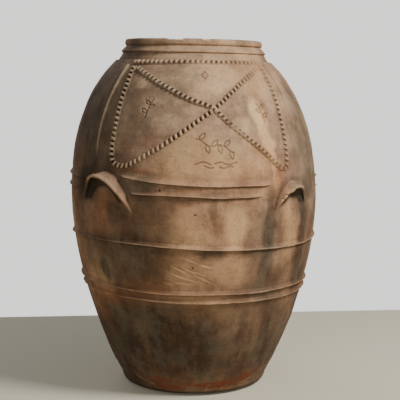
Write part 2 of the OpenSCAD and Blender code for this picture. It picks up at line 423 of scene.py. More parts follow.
def scrapes(azimuth, z):
    """Stand-off of the long shallow strokes and the ridges beside them."""
    out = 0
    for a, h, length, turn in SCRAPES:
        x, y = around(azimuth, z, a, h)
        c, s = math.cos(math.radians(turn)), math.sin(math.radians(turn))
        along, across = x * c + y * s, y * c - x * s - 1.5 * x * x
        fade = np.clip(1 - (2 * along / length) ** 2, 0, 1) * (1 + 0.35 * np.sin(130 * along + a))
        out = out + fade * (np.exp(-(across / SCRAPE_W) ** 2)
                            - 0.9 * np.exp(-((across - RIDGE_AT) / RIDGE_W) ** 2))
    return out * SCRAPE_DEEP


def handle_swell(azimuth, z):
    """The clay smeared round each hood's root, and the hollow behind the hood."""
    gap = hood_gap(azimuth, z)
    smear = np.exp(-((gap - 26 * MM) / (13 * MM)) ** 2) * smooth(z, 0.470, 0.520)
    pocket = smooth(-gap, -4 * MM, 24 * MM) * smooth(z, 0.440, 0.520)
    return 2.2 * MM * smear - 4.5 * MM * pocket


def flake_edge(azimuth, p):
    """Height up to which the dark skin has flaked off the foot."""
    side = np.abs(turn_from(0, azimuth))
    return (24 + 34 * smooth(side, 30, 62)) * MM + 7 * MM * clouds(p, 0.050, 31, 3)


def relief(azimuth, z):
    """Stand-off of the outer surface from the smooth thrown form, and the fields for paint()."""
    azimuth, z = np.broadcast_arrays(azimuth, z)
    p = place(azimuth, wall_r(z), z)
    u = np.radians(azimuth) * 0.3
    hand = np.stack(np.broadcast_arrays(u, 0 * z, z), axis=-1)
    out = 1.3 * MM * noise(p, 0.120, 1) + 0.7 * MM * noise(p, 0.045, 2)
    out = out + 0.28 * MM * clouds(p, 0.014, 3, 2)
    out = out + 0.38 * MM * noise(hand, (0.25, 1, 0.011), 5) * (0.6 + 0.4 * noise(p, 0.09, 6))
    beads, under_bead_shade = bands(azimuth, z, p)
    holes = pits(azimuth, z)
    near = grooves(azimuth, z)
    cut = np.exp(-(near / GROOVE_W) ** 2)
    burr = np.exp(-((near - 2 * GROOVE_W) / GROOVE_W) ** 2)
    out = out + beads - holes - GROOVE_DEEP * cut + 0.4 * MM * burr
    out = out + scrapes(azimuth, z) + handle_swell(azimuth, z)
    below = flake_edge(azimuth, p) - z
    out = out - 1.3 * MM * smooth(below, -1 * MM, 1.5 * MM)
    edge = np.exp(-(below / (2.2 * MM)) ** 2)
    gap = hood_gap(azimuth, z)
    # Painted shade in the hollow under each hood, and round each hood's root
    pocket = smooth(gap, 8 * MM, -2 * MM) * smooth(gap, -30 * MM, -20 * MM) * smooth(z, 0.495, 0.508)
    root = np.exp(-((gap - 22 * MM) / (9 * MM)) ** 2) * smooth(z, 0.500, 0.530)
    return out, {"beads": beads, "under_bead_shade": under_bead_shade, "holes": holes, "cut": cut, "edge": edge,
                 "pocket": pocket, "root": root}


# ---- stains, painted shade and painted highlight
# Patches of each stain and of painted shade: azimuth, then height, half width and half height
# in millimetres, then strength
# Soot, and painted shade: the long thin strips at 392 and 518 mm are painted shadow under the beads
# of the middle band and of the handle band
SOOT_AND_SHADE = [(-62, 700, 130, 240, 0.66), (-36, 770, 60, 60, 0.15), (-25, 775, 30, 20, 0.3),
        (-31, 670, 60, 50, 0.15), (-17, 775, 30, 30, 0.35), (-27, 460, 80, 90, 0.6),
        (-38, 360, 140, 90, 0.75), (4.5, 495, 10, 45, 0.45), (3.5, 390, 28, 22, 0.65),
        (31, 450, 20, 90, 0.8), (31, 340, 28, 80, 0.8), (36, 500, 15, 50, 0.4),
        (54, 420, 30, 130, 0.85), (24, 430, 30, 70, 0.35), (23, 340, 30, 70, 0.4),
        (-26, 170, 150, 120, 0.9), (-50, 130, 160, 120, 0.75), (2, 110, 100, 60, 0.65),
        (26, 150, 30, 120, 0.45), (48, 130, 80, 100, 0.65), (-49.5, 330, 14, 32, 0.9),
        (-49.5, 326, 12, 26, 0.9), (-40, 600, 90, 30, 0.45), (-58.5, 535, 22, 30, 0.9),
        (-60, 540, 45, 50, 0.7), (-40, 475, 35, 35, 0.75), (-28, 540, 70, 22, 0.5),
        (10, 392, 260, 10, 0.35), (-5, 518, 220, 8, 0.25), (16, 310, 160, 50, 0.25),
        (36, 420, 35, 60, 0.35), (37, 285, 45, 50, 0.4), (58, 300, 50, 40, 0.5),
        (3, 532, 50, 12, 0.4), (-22, 562, 30, 20, 0.45), (19, 285, 35, 30, 0.3),
        (-66, 430, 40, 80, 0.35), (40, 310, 60, 50, 0.5), (57, 340, 50, 80, 0.5),
        (38, 250, 60, 40, 0.4), (44, 190, 70, 60, 0.45), (14, 200, 110, 80, 0.35),
        (68, 620, 80, 220, 0.5), (52, 600, 50, 120, 0.3), (70, 300, 70, 200, 0.5),
        (120, 250, 220, 200, 0.75), (170, 600, 80, 220, 0.55), (200, 400, 100, 160, 0.6),
        (245, 650, 160, 220, 0.6), (150, 400, 40, 140, 0.55), (230, 200, 200, 140, 0.7)]
RUST = [(-24, 655, 30, 20, 0.3), (-35, 635, 16, 24, 0.55), (-30, 585, 45, 8, 0.6),
        (-50, 450, 35, 90, 0.5), (-43, 260, 100, 30, 0.5), (-66, 450, 50, 90, 0.2),
        (-62, 170, 80, 70, 0.5), (-30, 80, 90, 35, 0.5), (-28, 300, 60, 30, 0.4),
        (-66, 660, 40, 60, 0.3), (40, 60, 50, 20, 0.3), (-4, 235, 50, 20, 0.3),
        (34.5, 568, 10, 30, 0.55), (33, 475, 20, 30, 0.2), (48, 490, 20, 30, 0.2),
        (100, 500, 60, 120, 0.4), (190, 300, 90, 90, 0.45), (260, 350, 70, 100, 0.4)]
BLOOM = [(34.5, 566, 9, 30, 0.7), (28, 732, 18, 32, 0.9), (30, 690, 19, 42, 1),
         (32.5, 648, 16, 36, 1), (34.5, 610, 14, 22, 0.8), (19, 690, 25, 25, 0.5),
         (24, 620, 60, 60, 0.35), (4, 775, 40, 30, 0.5), (2, 620, 100, 60, 0.5),
         (14, 455, 30, 60, 0.7), (13, 350, 50, 40, 0.45), (-8, 440, 70, 60, 0.35),
         (-7, 340, 60, 40, 0.3), (42, 440, 30, 80, 0.35), (5, 800, 110, 50, 0.2),
         (30, 800, 120, 50, 0.3), (-13, 600, 50, 30, 0.3), (-50, 330, 35, 70, 0.5),
         (-33, 790, 12, 20, 0.5), (4, 235, 80, 30, 0.15), (0, 275, 120, 15, 0.25),
         (0, 870, 200, 30, 0.2), (130, 700, 100, 100, 0.5), (85, 650, 80, 140, 0.3),
         (175, 450, 50, 100, 0.5), (215, 720, 70, 80, 0.4), (275, 500, 60, 120, 0.4)]
# Where a grey dust takes the warmth out of the clay
GREY = [(-10, 875, 300, 40, 0.6), (-35, 760, 200, 140, 1), (-45, 660, 160, 100, 0.9),
        (-10, 830, 160, 50, 0.3), (16, 720, 70, 100, 0.7), (42, 700, 40, 120, 0.7),
        (62, 660, 100, 220, 1), (46, 535, 30, 40, 0.5), (-32, 555, 60, 30, 0.6),
        (-55, 420, 50, 100, 0.4), (30, 400, 50, 140, 0.5), (160, 600, 200, 200, 0.7),
        (220, 500, 100, 300, 0.5)]
# Orange clay that shows where the skin has flaked off the foot
FLAKES = [(34, 44, 30, 14, 0.9), (20, 36, 50, 14, 0.95), (6, 32, 35, 13, 0.9), (44, 60, 6, 20, 0.5),
          (-24, 24, 40, 9, 0.8), (-30, 42, 40, 14, 0.6), (-8, 34, 30, 10, 0.6), (90, 40, 50, 12, 0.7),
          (140, 30, 80, 10, 0.7), (200, 40, 60, 12, 0.8), (262, 30, 60, 10, 0.6)]
# Where the beads get little wear and painted highlight, so they stay dark: azimuth, height, half
# width and half height in metres
DARK_FLANK = (-67, 0.42, 0.13, 0.25)
# How far a patch fades out past the size that it is given
PATCH_REACH = 1.35


def patch_field(azimuth, z, p, spots, seed, ragged=1.0):
    """A field of soft, ragged patches, 0 to 1."""
    azimuth = azimuth + ragged * 3.0 * clouds(p, 0.050, seed, 3)
    z = z + ragged * 0.012 * clouds(p, 0.045, seed + 5, 3)
    field = np.zeros(p.shape[:-1])
    for at_azimuth, at_z, half_w, half_h, strength in spots:
        half_w, half_h = half_w * PATCH_REACH * MM, half_h * PATCH_REACH * MM
        here = smooth(spot(azimuth, z, at_azimuth, at_z * MM, half_w, half_h), 0, 0.65)
        field = 1 - (1 - field) * (1 - strength * here)
    return field


def streaks(azimuth, z, seed):
    """Long upright runs, -1 to 1."""
    a = np.radians(azimuth)
    q = np.stack(np.broadcast_arrays(0.3 * np.cos(a), 0.3 * np.sin(a), z), axis=-1)
    return 0.6 * noise(q, (0.030, 0.030, 0.20), seed) + 0.4 * noise(q, (0.012, 0.012, 0.10), seed + 1)


def paint(azimuth, z, p, parts=None):
    """The stains, wear, painted shade and painted highlight of a surface, one number from 0 to 1 for
    each of them.
    """
    azimuth = np.broadcast_to(azimuth, p.shape[:-1])
    z = np.broadcast_to(z, p.shape[:-1])
    run = streaks(azimuth, z, 51)
    soot_and_shade = patch_field(azimuth, z, p, SOOT_AND_SHADE, 41)
    # Darker towards the bottom: below the lower band, and more again down to the foot
    low = 0.36 * smooth(z, 0.266, 0.246) + 0.36 * smooth(z, 0.23, 0.04)
    soot_and_shade = 1 - (1 - soot_and_shade) * (1 - low)
    soot_and_shade = np.clip(soot_and_shade * (1 + 0.12 * run) + 0.16 * clouds(p, 0.08, 43) + 0.04 * run, 0, 1)
    rust = np.clip(patch_field(azimuth, z, p, RUST, 61) * (1 + 0.3 * run), 0, 1)
    bloom = np.clip(patch_field(azimuth, z, p, BLOOM, 71) * (1 + 0.25 * run), 0, 1)
    grey = patch_field(azimuth, z, p, GREY, 75)
    flaked = patch_field(azimuth, z, p, FLAKES, 81, 0.8)
    # Darker along the bottom edge, below 17 mm
    grime_and_shade = 0.85 * smooth(z, 17 * MM, 7 * MM)
    wear_and_highlight = np.zeros(p.shape[:-1])
    if parts is not None:
        # Darker in pits and grooves; painted shade in the crease under each bead and in the hollow
        # under each hood
        grime_and_shade = np.maximum(grime_and_shade, np.clip(0.4 * parts["holes"] / MM + 0.62 * parts["cut"], 0, 0.80))
        grime_and_shade = np.maximum(grime_and_shade, 0.64 * parts["under_bead_shade"])
        grime_and_shade = np.maximum(grime_and_shade, 0.80 * parts["pocket"])
        # Painted shade round the root of each hood, where it meets the wall
        soot_and_shade = 1 - (1 - soot_and_shade) * (1 - 0.45 * parts["root"])
        # Painted highlight, with wear, on the tops of the beads, with less soot under it
        wear_and_highlight = smooth(parts["beads"], 0.55 * BEAD_RISE, 0.90 * BEAD_RISE)
        wear_and_highlight = wear_and_highlight * np.clip(0.8 + 0.7 * clouds(p, 0.060, 88), 0.2, 1)
        wear_and_highlight = wear_and_highlight * (1 - 0.8 * smooth(spot(azimuth, z, *DARK_FLANK), 0, 0.5))
        soot_and_shade = soot_and_shade * (1 - 0.60 * wear_and_highlight)
        bare = parts["edge"] * smooth(noise(p, 0.022, 87), -0.1, 0.35)
        bloom = np.maximum(bloom, bare)
        soot_and_shade = soot_and_shade * (1 - 0.95 * bare)
    return {"soot_and_shade": soot_and_shade, "rust": rust, "bloom": bloom, "grime_and_shade": grime_and_shade, "wear_and_highlight": wear_and_highlight,
            "flaked": flaked, "grey": grey}


# ---- meshes
def new_object(name, data):
    made = bpy.data.objects.new(name, data)
    bpy.context.scene.collection.objects.link(made)
    return made


def new_piece(name, points, fields, slot="fired_clay", nodes=None, normals=None, faces=None):
    """A smooth-shaded mesh from a grid of points, which closes on itself unless faces are given.

    It stands for the CAD node of its own name, or for the nodes that are given.
    """
    if faces is None:
        faces = grid_faces(*points.shape[:2], True, True)
    points = points.reshape(-1, 3)
    me = bpy.data.meshes.new(name)
    me.vertices.add(len(points))
    me.vertices.foreach_set("co", points.astype(np.float32).ravel())
    me.loops.add(faces.size)
    me.loops.foreach_set("vertex_index", faces.astype(np.int32).ravel())
    me.polygons.add(len(faces))
    me.polygons.foreach_set("loop_start", np.arange(0, faces.size, 4, dtype=np.int32))
    me.polygons.foreach_set("use_smooth", np.ones(len(faces), dtype=bool))
    me.update(calc_edges=True)
    me.validate()
    for field, values in fields.items():
        layer = me.attributes.new(field, "FLOAT", "POINT")
        layer.data.foreach_set("value", values.astype(np.float32).ravel())
    if normals is not None:
        me.normals_split_custom_set_from_vertices(normals.reshape(-1, 3).tolist())
    me.materials.append(material_of[slot])
    piece = new_object(name, me)
    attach(piece, "root")
    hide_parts(*(nodes or [name]))


def grid_faces(rows, columns, wrap_rows, wrap_columns):
    """Faces, as rows of four corners, between the rows and columns of a grid of points."""
    r = np.arange(rows if wrap_rows else rows - 1)
    c = np.arange(columns if wrap_columns else columns - 1)
    r, c = np.meshgrid(r, c, indexing="ij")
    r1, c1 = (r + 1) % rows, (c + 1) % columns
    return np.stack([r * columns + c, r * columns + c1, r1 * columns + c1, r1 * columns + c],
                    axis=-1).reshape(-1, 4)


def outer_surface(azimuth, z):
    """Points and fields of the outside of the wall. A bead's nose droops over its foot."""
    out, parts = relief(azimuth, z)
    steep = 1 / np.sqrt(1 + wall_slope(z) ** 2)
    r = wall_r(z) + out * steep
    height = z - out * steep * wall_slope(z) - BEAD_DROOP * np.maximum(parts["beads"], 0)
    return place(azimuth, r, height), parts


def surface_normals(azimuth, z):
    """Normals of the outside of the wall, from points a little apart."""
    d = 0.9 * MM
    da = np.degrees(d / BELLY_R)
    up = outer_surface(azimuth, z + d)[0] - outer_surface(azimuth, z - d)[0]
    right = outer_surface(azimuth + da, z)[0] - outer_surface(azimuth - da, z)[0]
    n = np.cross(right, up)
    return n / np.linalg.norm(n, axis=-1, keepdims=True)


def grid_normals(points):
    """Normals of a grid that closes on itself both ways."""
    up = np.roll(points, -1, 0) - np.roll(points, 1, 0)
    right = np.roll(points, -1, 1) - np.roll(points, 1, 1)
    n = np.cross(right, up)
    return n / np.maximum(np.linalg.norm(n, axis=-1, keepdims=True), 1e-12)


def heights(z0, z1, step=None):
    """Heights of the rows from z0 to z1, closer together where the beads are."""
    if step:
        return np.linspace(z0, z1, max(2, math.ceil(abs(z1 - z0) / step) + 1))
    zs = [z0]
    while zs[-1] < z1:
        near_bead = any(f - 6 * MM < zs[-1] < f + BEAD_H + 10 * MM
                        for feet in BANDS.values() for f in feet)
        zs.append(zs[-1] + (BAND_STEP if near_bead else ROW_STEP))
    zs[-1] = z1
    return np.array(zs)


def inner_rows(az, z0, z1):
    """Rows down the inside of the wall, with faint throwing rings."""
    z = heights(z1, z0, INSIDE_STEP)[:, None]
    p = place(az, inner_r(z), z)
    wave = 0.8 * MM * noise(p, (0.3, 0.3, 0.016), 8) + 1.0 * MM * noise(p, 0.06, 9)
    return place(az, inner_r(z) + wave, z), z


def joined(paint_fields):
    """The stains, painted shade and painted highlight of several grids of rows as those of one grid.
    """
    return {k: np.concatenate([s[k] for s in paint_fields]) for k in paint_fields[0]}


def thrown_piece(name, z0, z1, lip=(), inside=None, nodes=None, slot="fired_clay"):
    """A closed ring of wall from z0 to z1: outside, lip, then down the inside or a band's back."""
    az = COLUMNS[None, :]
    z = heights(z0, z1)[:, None]
    outside, parts = outer_surface(az, z)
    end_normals = surface_normals(az, z[[0, -1]])
    rows = [outside]
    paint_fields = [paint(az, z, outside, parts)]
    for r, height in lip:
        edge = place(az, r, height)
        rows.append(edge)
        paint_fields.append(paint(az, height, edge))
    if inside:
        back, back_z = inner_rows(az, *inside)
    else:
        back_z = heights(z1, z0, HIDDEN_STEP)[:, None]
        back = place(az, wall_r(back_z) - BAND_DEPTH, back_z)
    rows.append(back)
    paint_fields.append(paint(az, back_z, back))
    points = np.concatenate(rows)
    normals = grid_normals(points)
    normals[0] = end_normals[0]
    if not lip:
        normals[len(outside) - 1] = end_normals[1]
    new_piece(name, points, joined(paint_fields), slot, nodes, normals)


# ---- material
def srgb(r, g, b):
    """A colour given as screen values from 0 to 255."""
    return tuple((c / 255 / 12.92) if c < 10.3 else ((c / 255 + 0.055) / 1.055) ** 2.4
                 for c in (r, g, b)) + (1.0,)


CLAY_TAN = srgb(185, 143, 109)
CLAY_BROWN = srgb(140, 101, 74)
CLAY_PALE = srgb(240, 194, 140)
CLAY_WORN_AND_HIGHLIT = srgb(206, 166, 130)
CLAY_RUST = srgb(160, 92, 52)
CLAY_RED = srgb(118, 56, 30)
OLIVE = srgb(112, 98, 72)
ROSE = srgb(160, 116, 96)
OLIVE_DUST = (0.96, 1.0, 0.91, 1.0)
SOOT_AND_SHADE_BROWN = srgb(64, 46, 30)
SOOT_AND_SHADE_GREY = srgb(80, 70, 56)
DARK_GRIME_AND_SHADE = srgb(33, 24, 17)


def feed(tree, node, values):
    """Joins a node's inputs to outputs of other nodes, or sets them to plain values."""
    for key, value in values.items():
        if isinstance(value, bpy.types.NodeSocket):
            tree.links.new(value, node.inputs[key])
        else:
            node.inputs[key].default_value = value


class Nodes:
    """Short ways to add shader nodes and join them."""

    def __init__(self, material):
        material.use_nodes = True
        self.tree = material.node_tree
        self.coords = self.new("TexCoord", {})["Object"]

    def new(self, kind, values, **settings):
        """The outputs of a new node, after its settings are made and its inputs are fed."""
        node = self.tree.nodes.new("ShaderNode" + kind)
        for key, value in settings.items():
            setattr(node, key, value)
        feed(self.tree, node, values)
        return node.outputs

    def field(self, name):
        return self.new("Attribute", {}, attribute_name=name)["Fac"]

    def noise(self, size, stretch=(1, 1, 1), detail=3, rough=0.55):
        """A noise texture whose features are about size metres, longer where stretch is larger."""
        scale = [1 / (size * s) for s in stretch]
        where = self.new("Mapping", {"Scale": scale, "Vector": self.coords})["Vector"]
        return self.new("TexNoise", {"Scale": 1, "Detail": detail, "Roughness": rough,
                                     "Vector": where})["Fac"]

    def times(self, a, b, clamp=False):
        return self.new("Math", {0: a, 1: b}, operation="MULTIPLY", use_clamp=clamp)[0]

    def plus(self, a, b, clamp=False):
        return self.new("Math", {0: a, 1: b}, operation="ADD", use_clamp=clamp)[0]

    def step(self, value, low, high):
        """0 below low, 1 above high."""
        return self.new("MapRange", {"Value": value, "From Min": low, "From Max": high},
                        interpolation_type="SMOOTHSTEP")["Result"]

    def mix(self, factor, a, b, blend="MIX"):
        """a where the factor is 0, b where it is 1."""
        return self.new("Mix", {0: factor, 6: a, 7: b}, data_type="RGBA", blend_type=blend)[2]

    def desaturate(self, colour, factor, saturation):
        return self.new("HueSaturation", {"Color": colour, "Fac": factor,
                                          "Saturation": saturation})[0]


def fired_clay(name):
    """Unglazed clay with soot, rust-red patches, pale bloom, grime and painted shade in hollows and
    under beads, and worn ridges with a painted highlight.
    """
    material = bpy.data.materials.new(name)
    n = Nodes(material)
    mottle = n.noise(0.060, detail=5, rough=0.62)
    grain = n.noise(0.006, detail=4, rough=0.7)
    runs = n.noise(0.022, (1, 1, 9), detail=4, rough=0.6)
    speck = n.noise(0.0028, detail=2)
    blotch = n.noise(0.017, detail=4, rough=0.68)
    cloud = n.noise(0.045, (1, 1, 1.8), detail=4, rough=0.65)
    colour = n.mix(n.step(mottle, 0.34, 0.66), CLAY_BROWN, CLAY_TAN)
    olive = n.noise(0.038, (1, 1, 2.2), detail=3, rough=0.6)
    colour = n.mix(n.times(n.step(olive, 0.50, 0.72), 0.42), colour, OLIVE)
    rose = n.noise(0.030, (1, 1, 1.6), detail=2, rough=0.5)
    colour = n.mix(n.times(n.step(rose, 0.55, 0.72), 0.22), colour, ROSE)
    bloom = n.times(n.field("bloom"), n.plus(n.times(runs, 0.7), 0.6))
    colour = n.mix(n.times(bloom, 0.8, True), colour, CLAY_PALE)
    rust = n.times(n.field("rust"), n.plus(mottle, 0.4), True)
    colour = n.mix(rust, colour, CLAY_RUST)
    patchy = n.plus(n.times(runs, 0.35), n.times(blotch, 0.75))
    # Soot, with painted shade in places, in brown or grey
    soot_and_shade_amount = n.times(n.field("soot_and_shade"), n.plus(patchy, 0.42), True)
    soot_and_shade_colour = n.mix(n.step(cloud, 0.42, 0.62), SOOT_AND_SHADE_BROWN, SOOT_AND_SHADE_GREY)
    colour = n.mix(soot_and_shade_amount, colour, soot_and_shade_colour)
    flaked = n.times(n.field("flaked"), n.step(blotch, 0.32, 0.52), True)
    colour = n.mix(flaked, colour, CLAY_RED)
    # Wear and painted highlight on the tops of beads and knobs
    colour = n.mix(n.times(n.field("wear_and_highlight"), 0.60), colour, CLAY_WORN_AND_HIGHLIT)
    colour = n.desaturate(colour, n.field("grey"), 0.82)
    colour = n.mix(n.field("grey"), colour, OLIVE_DUST, "MULTIPLY")
    # Grime and painted shade in pits, grooves, notches, creases and hollows
    colour = n.mix(n.field("grime_and_shade"), colour, DARK_GRIME_AND_SHADE)
    tone = n.plus(grain, n.times(blotch, 0.95))
    tone = n.plus(tone, 0.01)
    colour = n.mix(1.0, colour, n.mix(tone, (0, 0, 0, 1), (1, 1, 1, 1)), "MULTIPLY")
    colour = n.mix(n.times(n.step(speck, 0.66, 0.74), 0.5), colour, DARK_GRIME_AND_SHADE)
    rings = n.noise(0.010, (30, 30, 1), detail=2)
    bump = n.new("Bump", {"Strength": 0.75, "Distance": 1.2 * MM,
                          "Height": n.plus(grain, n.times(rings, 0.8))})
    feed(n.tree, n.tree.nodes["Principled BSDF"],
         {"Base Color": colour, "Roughness": n.plus(n.times(grain, 0.25), 0.66, True),
          "Specular IOR Level": 0.30, "Normal": bump["Normal"]})
    return material


material_of = {slot: fired_clay(slot) for slot in ("fired_clay", "sooted_clay", "red_clay")}


# ---- foot, walls and bands
def capped(name, outline, slot):
    """A solid of revolution whose outline starts and ends on the axis."""
    az = COLUMNS[None, :]
    r, z = np.array(outline).T[..., None]
    points = place(az, r, z)
    faces = grid_faces(len(outline), len(COLUMNS), False, True)
    new_piece(name, points, paint(az, z, points), slot, faces=faces)


def base_slab():
    """The floor: a flat resting face with a bevel, and throwing rings on top."""
    under = [(r, 0) for r in np.linspace(0.02, REST_R - 4 * MM, 9)]
    over = [(r, FLOOR_Z + 0.6 * MM * math.sin(r * 400)) for r in np.linspace(0.17, 0.01, 22)]
    outline = ([(0.5 * MM, 0)] + under + outline_from(REST_R, 0, (0, 0.3), (6, 1.2), (14, 4))
               + outline_from(FOOT_R, 0, (-9, 9)) + outline_from(FOOT_R, FLOOR_Z, (-9, -1), (-11, 0))
               + over + [(0.5 * MM, FLOOR_Z)])
    capped("base_slab", outline, "sooted_clay")


def foot_band():
    """The band round the foot, with a rounded lower edge that has lost its dark skin."""
    az = COLUMNS[None, :]
    curve = outline_from(FOOT_R, 0, (-11, 5), (-3, 6), (-0.5, 12), (2.2, 24))
    blend = np.linspace(0, 1, 14)[:, None]
    edge = bezier(curve, blend[:, 0])
    z = heights(0.025, FOOT_BAND_Z)[:, None]
    low_p = place(az, edge[:, :1], edge[:, 1:])
    low_p = low_p + 1.2 * MM * noise(low_p, 0.03, 12)[..., None] * np.array([0, 0, 0.5])
    outside, parts = outer_surface(az, z)
    shift = relief(az, z[:1])[0]
    low_p = low_p + (shift * blend)[..., None] * place(az, 1, 0 * blend)
    back_z = heights(FOOT_BAND_Z, 0.006, 8 * MM)[:, None]
    back = place(az, np.minimum(wall_r(back_z), FOOT_R + 30 * MM) - 12 * MM, back_z)
    points = np.concatenate([low_p, outside, back])
    paint_fields = [paint(az, edge[:, 1:], low_p), paint(az, z, outside, parts), paint(az, back_z, back)]
    normals = grid_normals(points)
    normals[len(edge) + len(z) - 1] = surface_normals(az, z[-1:])[0]
    new_piece("foot_band", points, joined(paint_fields), "red_clay", normals=normals)


def walls():
    """The thrown sections, and the bands over the joints between them."""
    low, mid, high = (bottom("belly_wall"), bottom("upper_wall"), top("upper_wall"))
    thrown_piece("lower_wall", FOOT_BAND_Z, bottom("lower_band"), slot="sooted_clay",
                 inside=(FLOOR_Z, low))
    thrown_piece("lower_band", bottom("lower_band"), top("lower_band"), slot="sooted_clay")
    thrown_piece("belly_wall", top("lower_band"), bottom("middle_band"), inside=(low, mid))
    thrown_piece("middle_band", bottom("middle_band"), top("middle_band"))
    thrown_piece("upper_wall", top("middle_band"), bottom("handle_band_front"), inside=(mid, high))
    thrown_piece("handle_band", bottom("handle_band_front"), top("handle_band_front"),
                 nodes=[f"handle_band_{side}" for side in ("front", "right", "back", "left")])
    thrown_piece("shoulder_wall", top("handle_band_front"), LEDGE_Z, inside=(high, LEDGE_Z),
                 lip=outline_from(SHOULDER_R, LEDGE_Z, (-1, 0.8), (-3, 1.2), (-7, 1), (-12, 0.4)))


# ---- neck and lip
def rounded(points, passes=2):
    """Cuts the corners of an open outline."""
    p = np.array(points)
    for _ in range(passes):
        a = 0.75 * p[:-1] + 0.25 * p[1:]
        b = 0.25 * p[:-1] + 0.75 * p[1:]
        p = np.vstack([p[:1], np.stack([a, b], axis=1).reshape(-1, 2), p[-1:]])
    return p


def ring_piece(name, outline, seed):
    """A turned ring of the neck from its outline, lumpy outside and chipped on top of the lip."""
    az = COLUMNS[None, :]
    p = rounded(outline)
    points = place(az, p[:, :1], p[:, 1:])
    lump = 0.5 * MM * noise(points, 0.05, seed) + 0.35 * MM * clouds(points, 0.012, seed + 1, 2)
    lump = lump * smooth(p[:, :1], MOUTH_R - 1 * MM, MOUTH_R + 8 * MM)
    r = p[:, :1] + lump
    height = p[:, 1:] + 0.5 * lump
    chipped = smooth(noise(points, (0.022, 0.022, 0.2), 83), 0.35, 0.70)
    chipped = chipped * smooth(height, LIP_Z - 5 * MM, LIP_Z - 1 * MM)
    points = place(az, r, height - 2.2 * MM * chipped)
    fields = paint(az, p[:, 1:], points)
    fields["bloom"] = np.maximum(fields["bloom"], 1.2 * chipped)
    fields["soot_and_shade"] = fields["soot_and_shade"] * (1 - chipped)
    new_piece(name, points, fields, normals=grid_normals(points))


def neck():
    """The flared ring on the ledge, the collar with its nose, and the rolled lip."""
    ring_piece("neck_ring", outline_from(MOUTH_R, LEDGE_Z, (0, 10), (12, -1))
               + outline_from(SHOULDER_R, LEDGE_Z, (-6, -1), (-8, 1), (-10, 5), (-16, 13))
               + outline_from(SHOULDER_R, RING_Z, (-19, 0), (-26, 1)) + [(MOUTH_R, RING_Z)], 91)
    ring_piece("neck_collar", [(MOUTH_R, RING_Z)]
               + outline_from(SHOULDER_R, RING_Z, (-26, 0), (-19.5, -1), (-15.5, 0.5), (-16, 4),
                              (-23, 11))
               + outline_from(LIP_R, COLLAR_Z, (-4, 0), (-10, 1)) + [(MOUTH_R, COLLAR_Z)], 94)
    ring_piece("rim_lip", [(MOUTH_R, COLLAR_Z)]
               + outline_from(LIP_R, COLLAR_Z, (-10, 0), (-3.5, -1), (0.5, 2.5), (0.3, 8))
               + outline_from(LIP_R, LIP_Z, (-2, -1), (-8, 0.3))
               + outline_from(MOUTH_R, LIP_Z, (6, 0), (0.5, -1.5), (0, -8)), 97)


# ---- handles
FLANK_FOOT_W = 6 * MM
LIP_T = 6 * MM


def tube(name, points, fields):
    """A piece from rings of points, an even number in each, closed at both ends."""
    n, m = points.shape[:2]
    first = np.array([[k, k + 1, m - 2 - k, m - 1 - k] for k in range(m // 2 - 1)])
    last = first[:, ::-1] + (n - 1) * m
    sides = grid_faces(n, m, False, True)[:, ::-1]
    new_piece(name, points, fields, faces=np.concatenate([sides, first, last]))


